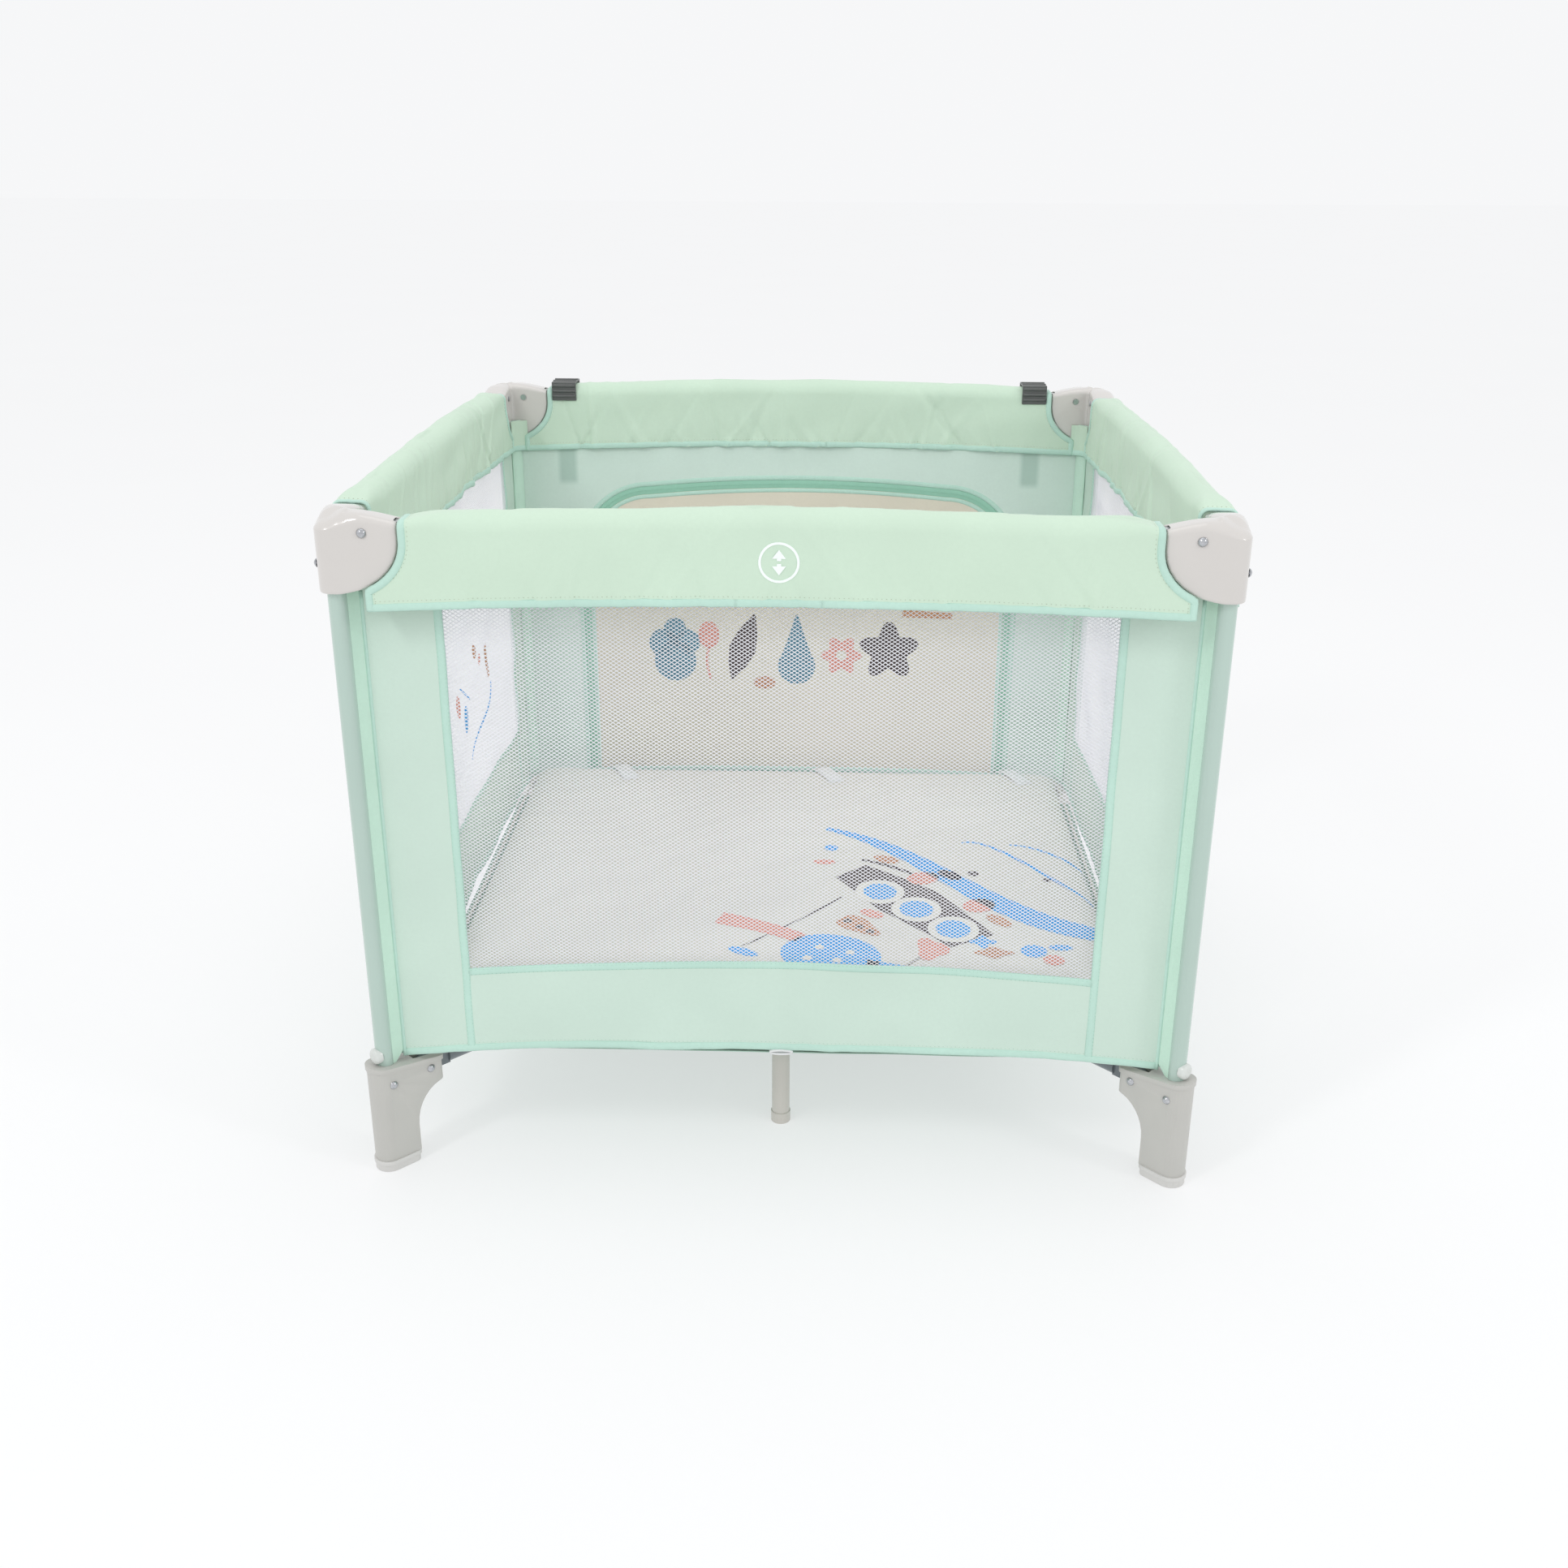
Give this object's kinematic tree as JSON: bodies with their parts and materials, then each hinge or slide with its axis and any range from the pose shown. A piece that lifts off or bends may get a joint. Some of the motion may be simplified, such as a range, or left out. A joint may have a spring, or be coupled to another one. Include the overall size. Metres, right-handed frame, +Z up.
{
  "type": "playpen",
  "caption": "Square folding playpen with padded top rails, mesh walls, a zipped back door and a padded floor mattress.",
  "frame": {"origin": "middle of the pen on the floor, below the centre of its bounding box", "axes": "+Z up, -Y the front side, +Y the side with the zipped door"},
  "size_m": [0.9646, 0.9646, 0.797],
  "materials": {
    "cap_plastic": "glossy warm pale grey moulded plastic",
    "foot_plastic": "satin grey moulded plastic",
    "sole_plastic": "pale satin plastic",
    "leg_paint": "satin pale green-grey powder coat",
    "rail_paint": "satin grey powder coat",
    "strut_paint": "satin dark grey powder coat",
    "lock_plastic": "matte dark grey moulded plastic",
    "button_plastic": "matte red plastic",
    "screw_chrome": "polished",
    "mint_fabric": "woven mint polyester",
    "binding_fabric": "ribbed aqua-green binding tape",
    "mesh_fabric": "white knitted netting",
    "door_fabric": "printed cream fabric",
    "mattress_fabric": "padded printed cream fabric",
    "base_fabric": "woven grey-cream fabric",
    "strap_webbing": "dark grey webbing",
    "zip_plastic": "green-grey zip",
    "clip_plastic": "matte dark grey plastic"
  },
  "bodies": {
    "leg_fl": {"cap_fl": "cap_plastic", "tube_fl": "leg_paint", "foot_fl": "foot_plastic", "sole_fl": "sole_plastic", "screws_fl": "screw_chrome", "wall_front": "mint_fabric"},
    "leg_fr": {"cap_fr": "cap_plastic", "tube_fr": "leg_paint", "foot_fr": "foot_plastic", "sole_fr": "sole_plastic", "screws_fr": "screw_chrome", "wall_right": "mint_fabric"},
    "leg_br": {"cap_br": "cap_plastic", "tube_br": "leg_paint", "foot_br": "foot_plastic", "sole_br": "sole_plastic", "screws_br": "screw_chrome", "wall_back": "mint_fabric", "door_panel": "door_fabric", "zip_slider": "zip_plastic"},
    "leg_bl": {"cap_bl": "cap_plastic", "tube_bl": "leg_paint", "foot_bl": "foot_plastic", "sole_bl": "sole_plastic", "screws_bl": "screw_chrome", "wall_left": "mint_fabric"},
    "hub": {"hub": "lock_plastic", "hub_pins": "screw_chrome", "hub_strap": "strap_webbing", "base_sheet": "base_fabric"},
    "mattress": {"mattress": "mattress_fabric"},
    "strut_fl": {"strut_fl": "strut_paint"},
    "strut_fr": {"strut_fr": "strut_paint"},
    "strut_br": {"strut_br": "strut_paint"},
    "strut_bl": {"strut_bl": "strut_paint"},
    "support_front": {"support_front": "rail_paint"},
    "support_back": {"support_back": "rail_paint"},
    "rail_front_l": {"rail_front_l": "rail_paint"},
    "rail_front_r": {"rail_front_r": "rail_paint"},
    "rail_back_l": {"rail_back_l": "rail_paint", "clip_back_l": "clip_plastic"},
    "rail_back_r": {"rail_back_r": "rail_paint", "clip_back_r": "clip_plastic"},
    "rail_left_f": {"rail_left_f": "rail_paint"},
    "rail_left_b": {"rail_left_b": "rail_paint"},
    "rail_right_f": {"rail_right_f": "rail_paint"},
    "rail_right_b": {"rail_right_b": "rail_paint"},
    "lock_front": {"lock_front": "lock_plastic", "cover_front": "mint_fabric"},
    "button_front": {"button_front": "button_plastic"},
    "lock_back": {"lock_back": "lock_plastic", "cover_back": "mint_fabric"},
    "button_back": {"button_back": "button_plastic"},
    "lock_left": {"lock_left": "lock_plastic", "cover_left": "mint_fabric"},
    "button_left": {"button_left": "button_plastic"},
    "lock_right": {"lock_right": "lock_plastic", "cover_right": "mint_fabric"},
    "button_right": {"button_right": "button_plastic"}
  },
  "joints": [
    {"name": "fold", "type": "hinge", "parent": "leg_fl", "child": "strut_fl", "pos_m": [-0.42464, -0.42464, 0.117], "axis": [0.7071, -0.7071, 0], "range_deg": [0, 85], "deforming": ["base_sheet", "mattress", "wall_front", "wall_right", "wall_back", "wall_left", "door_panel", "cover_front", "cover_back", "cover_left", "cover_right"]},
    {"name": "hub_turn", "type": "hinge", "parent": "strut_fl", "child": "hub", "pos_m": [-0.04264, -0.04264, 0.117], "axis": [-0.7071, 0.7071, 0], "range_deg": [0, 85]},
    {"name": "strut_fr_turn", "type": "hinge", "parent": "hub", "child": "strut_fr", "pos_m": [0.04264, -0.04264, 0.117], "axis": [0.7071, 0.7071, 0], "range_deg": [0, 85]},
    {"name": "leg_fr_turn", "type": "hinge", "parent": "strut_fr", "child": "leg_fr", "pos_m": [0.42464, -0.42464, 0.117], "axis": [-0.7071, -0.7071, 0], "range_deg": [0, 85]},
    {"name": "strut_br_turn", "type": "hinge", "parent": "hub", "child": "strut_br", "pos_m": [0.04264, 0.04264, 0.117], "axis": [-0.7071, 0.7071, 0], "range_deg": [0, 85]},
    {"name": "leg_br_turn", "type": "hinge", "parent": "strut_br", "child": "leg_br", "pos_m": [0.42464, 0.42464, 0.117], "axis": [0.7071, -0.7071, 0], "range_deg": [0, 85]},
    {"name": "strut_bl_turn", "type": "hinge", "parent": "hub", "child": "strut_bl", "pos_m": [-0.04264, 0.04264, 0.117], "axis": [-0.7071, -0.7071, 0], "range_deg": [0, 85]},
    {"name": "leg_bl_turn", "type": "hinge", "parent": "strut_bl", "child": "leg_bl", "pos_m": [-0.42464, 0.42464, 0.117], "axis": [0.7071, 0.7071, 0], "range_deg": [0, 85]},
    {"name": "rail_front_l_turn", "type": "hinge", "parent": "leg_fl", "child": "rail_front_l", "pos_m": [-0.424, -0.46, 0.77], "axis": [0, 1, 0], "range_deg": [0, 85]},
    {"name": "rail_front_r_turn", "type": "hinge", "parent": "leg_fr", "child": "rail_front_r", "pos_m": [0.424, -0.46, 0.77], "axis": [0, -1, 0], "range_deg": [0, 85]},
    {"name": "rail_back_l_turn", "type": "hinge", "parent": "leg_bl", "child": "rail_back_l", "pos_m": [-0.424, 0.46, 0.77], "axis": [0, 1, 0], "range_deg": [0, 85]},
    {"name": "rail_back_r_turn", "type": "hinge", "parent": "leg_br", "child": "rail_back_r", "pos_m": [0.424, 0.46, 0.77], "axis": [0, -1, 0], "range_deg": [0, 85]},
    {"name": "rail_left_f_turn", "type": "hinge", "parent": "leg_fl", "child": "rail_left_f", "pos_m": [-0.46, -0.424, 0.77], "axis": [-1, 0, 0], "range_deg": [0, 85]},
    {"name": "rail_left_b_turn", "type": "hinge", "parent": "leg_bl", "child": "rail_left_b", "pos_m": [-0.46, 0.424, 0.77], "axis": [1, 0, 0], "range_deg": [0, 85]},
    {"name": "rail_right_f_turn", "type": "hinge", "parent": "leg_fr", "child": "rail_right_f", "pos_m": [0.46, -0.424, 0.77], "axis": [-1, 0, 0], "range_deg": [0, 85]},
    {"name": "rail_right_b_turn", "type": "hinge", "parent": "leg_br", "child": "rail_right_b", "pos_m": [0.46, 0.424, 0.77], "axis": [1, 0, 0], "range_deg": [0, 85]},
    {"name": "lock_front_turn", "type": "hinge", "parent": "rail_front_l", "child": "lock_front", "pos_m": [-0.042, -0.46, 0.77], "axis": [0, -1, 0], "range_deg": [0, 85]},
    {"name": "lock_back_turn", "type": "hinge", "parent": "rail_back_l", "child": "lock_back", "pos_m": [-0.042, 0.46, 0.77], "axis": [0, -1, 0], "range_deg": [0, 85]},
    {"name": "lock_left_turn", "type": "hinge", "parent": "rail_left_f", "child": "lock_left", "pos_m": [-0.46, -0.042, 0.77], "axis": [1, 0, 0], "range_deg": [0, 85]},
    {"name": "lock_right_turn", "type": "hinge", "parent": "rail_right_f", "child": "lock_right", "pos_m": [0.46, -0.042, 0.77], "axis": [1, 0, 0], "range_deg": [0, 85]},
    {"name": "support_front_turn", "type": "hinge", "parent": "hub", "child": "support_front", "pos_m": [0, -0.05, 0.117], "axis": [1, 0, 0], "range_deg": [0, 85]},
    {"name": "support_back_turn", "type": "hinge", "parent": "hub", "child": "support_back", "pos_m": [0, 0.05, 0.117], "axis": [-1, 0, 0], "range_deg": [0, 85]},
    {"name": "mattress_lift", "type": "slide", "parent": "hub", "child": "mattress", "axis": [0, 0, 1], "range_m": [0, 0.16]},
    {"name": "button_front_press", "type": "slide", "parent": "lock_front", "child": "button_front", "axis": [0, 1, 0], "range_m": [0, 0.005], "stiffness_N_per_m": 400, "springref_m": -0.004},
    {"name": "button_back_press", "type": "slide", "parent": "lock_back", "child": "button_back", "axis": [0, -1, 0], "range_m": [0, 0.005], "stiffness_N_per_m": 400, "springref_m": -0.004},
    {"name": "button_left_press", "type": "slide", "parent": "lock_left", "child": "button_left", "axis": [1, 0, 0], "range_m": [0, 0.005], "stiffness_N_per_m": 400, "springref_m": -0.004},
    {"name": "button_right_press", "type": "slide", "parent": "lock_right", "child": "button_right", "axis": [-1, 0, 0], "range_m": [0, 0.005], "stiffness_N_per_m": 400, "springref_m": -0.004}
  ],
  "couplings": [
    {"joint": "hub_turn", "follows": "fold", "ratio": 1},
    {"joint": "strut_fr_turn", "follows": "fold", "ratio": 1},
    {"joint": "leg_fr_turn", "follows": "fold", "ratio": 1},
    {"joint": "strut_br_turn", "follows": "fold", "ratio": 1},
    {"joint": "leg_br_turn", "follows": "fold", "ratio": 1},
    {"joint": "strut_bl_turn", "follows": "fold", "ratio": 1},
    {"joint": "leg_bl_turn", "follows": "fold", "ratio": 1},
    {"joint": "rail_front_l_turn", "follows": "fold", "ratio": 1},
    {"joint": "rail_front_r_turn", "follows": "fold", "ratio": 1},
    {"joint": "rail_back_l_turn", "follows": "fold", "ratio": 1},
    {"joint": "rail_back_r_turn", "follows": "fold", "ratio": 1},
    {"joint": "rail_left_f_turn", "follows": "fold", "ratio": 1},
    {"joint": "rail_left_b_turn", "follows": "fold", "ratio": 1},
    {"joint": "rail_right_f_turn", "follows": "fold", "ratio": 1},
    {"joint": "rail_right_b_turn", "follows": "fold", "ratio": 1},
    {"joint": "lock_front_turn", "follows": "fold", "ratio": 1},
    {"joint": "lock_back_turn", "follows": "fold", "ratio": 1},
    {"joint": "lock_left_turn", "follows": "fold", "ratio": 1},
    {"joint": "lock_right_turn", "follows": "fold", "ratio": 1},
    {"joint": "support_front_turn", "follows": "fold", "ratio": 1},
    {"joint": "support_back_turn", "follows": "fold", "ratio": 1},
    {"joint": "mattress_lift", "follows": "fold", "m_per_rad": 0.1}
  ]
}
